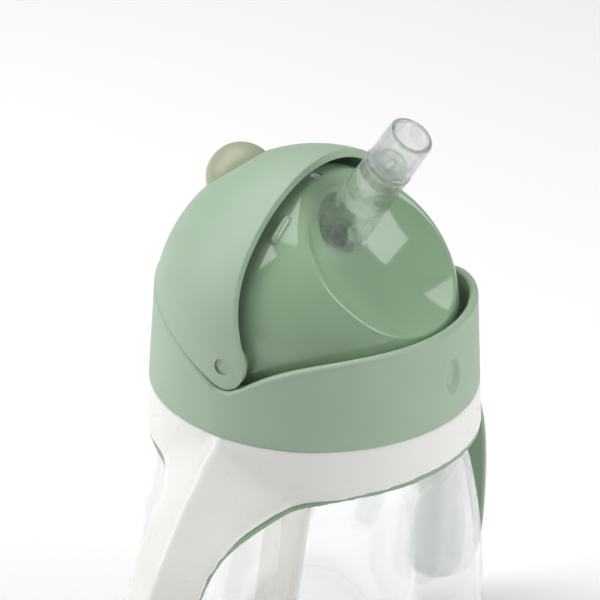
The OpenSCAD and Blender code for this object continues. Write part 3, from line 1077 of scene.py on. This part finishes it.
mouth = add_piece(
    "spout_mouthpiece",
    joined(revolved_on_spout((mouth_profile, False)), mouth_wall()),
    clear_silicone,
)
for piece, bodies, hinge_s, reach, nodes in (
    (foot, ("lid", "spout_low"), FOLD_S, 3.2, ("straw_foot",)),
    (stem, ("spout_low", "spout_mid"), BEND_S, 3.4, ("spout_lower", "spout_middle")),
    (mouth, ("spout_mid", "spout_tip"), CURL_S, 3.6, ("spout_mouth",)),
):
    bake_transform(piece)
    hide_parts(*nodes)

straw_length = (straw_top[2] - STRAW_END_Z) / math.cos(STRAW_LEAN)
straw_points, straw_faces = revolve(
    rounded(
        [
            [STRAW_R - STRAW_T, -straw_length, 0.3],
            [STRAW_R, -straw_length, 0.4],
            [STRAW_R, 0, 0.2],
            [STRAW_R - STRAW_T, 0, 0.2],
        ],
        4,
    ),
    96,
)
straw_shape = (tilted(straw_points, straw_top, STRAW_LEAN), straw_faces)
straw = add_piece("inner_straw", straw_shape, cream_tube)
placed(straw, "lid", "inner_straw", "long_straw")

# ---------------------------------------------------------------- CAD nodes that stay

for node, material, width in (
    ("lid_gasket", seal_grey, 0.25),
    ("pivot_pin_left", pin_khaki, 0.2),
    ("pivot_pin_right", pin_khaki, 0.2),
    ("vent_valve", valve_white, 0.1),
):
    shown = frame["nodes"][node]
    shown.data.materials.clear()
    shown.data.materials.append(material)
    bevel(shown, width, 2, 50)

# ---------------------------------------------------------------- floor, lights and camera


def add_floor():
    size = 4.0
    corners = [(-size, -size, 0), (size, -size, 0), (size, size, 0), (-size, size, 0)]
    mesh = bpy.data.meshes.new("floor")
    mesh.from_pydata(corners, [], [(0, 1, 2, 3)])
    plane = bpy.data.objects.new("floor", mesh)
    bpy.context.scene.collection.objects.link(plane)
    glow = {"Emission_Color": (1, 1, 1, 1), "Emission_Strength": 0.045}
    material, node = principled("floor_white", (0.93, 0.93, 0.93), 0.8, **glow)
    vary_color(material, node, noise(material, 3, 2), (0.925, 0.925, 0.925), (0.935, 0.935, 0.935))
    mesh.materials.append(material)


AZIMUTH, ELEVATION, ROLL = (math.radians(a) for a in (-56.13, 27.29, 1.124))
DISTANCE = 0.950
LENS, SENSOR = 250.6, 36.0
SHIFT_X, SHIFT_Y = -0.0264, 0.0094
TARGET = Vector((0, 0, PIVOT_Z * MM))


def axes_from(azimuth, elevation):
    """Right, up and back of something that looks at the target from an azimuth and elevation."""
    level = math.cos(elevation)
    back = Vector((math.sin(azimuth) * level, -math.cos(azimuth) * level, math.sin(elevation)))
    right = Vector((math.cos(azimuth), math.sin(azimuth), 0))
    return right, back.cross(right), back


def add_camera():
    right, up, back = axes_from(AZIMUTH, ELEVATION)
    turned_right = right * math.cos(ROLL) + up * math.sin(ROLL)
    turned_up = up * math.cos(ROLL) - right * math.sin(ROLL)
    data = bpy.data.cameras.new("camera")
    data.lens, data.sensor_width = LENS, SENSOR
    data.shift_x, data.shift_y = SHIFT_X, SHIFT_Y
    data.clip_start, data.clip_end = 0.05, 20
    camera = bpy.data.objects.new("camera", data)
    bpy.context.scene.collection.objects.link(camera)
    turn = Matrix((turned_right, turned_up, back)).transposed().to_4x4()
    camera.matrix_world = Matrix.Translation(TARGET + back * DISTANCE) @ turn
    bpy.context.scene.camera = camera


def add_light(name, azimuth_deg, elevation_deg, distance, width, height, power):
    """A soft box that faces the target."""
    right, up, back = axes_from(math.radians(azimuth_deg), math.radians(elevation_deg))
    data = bpy.data.lights.new(name, "AREA")
    data.shape = "RECTANGLE"
    data.size, data.size_y = width, height
    data.energy = power
    lamp = bpy.data.objects.new(name, data)
    bpy.context.scene.collection.objects.link(lamp)
    turn = Matrix((right, up, back)).transposed().to_4x4()
    lamp.matrix_world = Matrix.Translation(TARGET + back * distance) @ turn


add_floor()
add_camera()
add_light("key_left", azimuth_deg=-142, elevation_deg=34, distance=0.9, width=0.55, height=0.8, power=4.9)
add_light("fill_right", azimuth_deg=14, elevation_deg=30, distance=1.0, width=0.6, height=0.8, power=5.6)
add_light("top_back", azimuth_deg=170, elevation_deg=66, distance=0.95, width=0.8, height=0.8, power=5.5)
world = bpy.data.worlds.new("studio")
world.use_nodes = True
world.node_tree.nodes["Background"].inputs["Color"].default_value = (1, 1, 1, 1)
world.node_tree.nodes["Background"].inputs["Strength"].default_value = 0.18
bpy.context.scene.world = world
bpy.context.scene.view_settings.view_transform = "Standard"
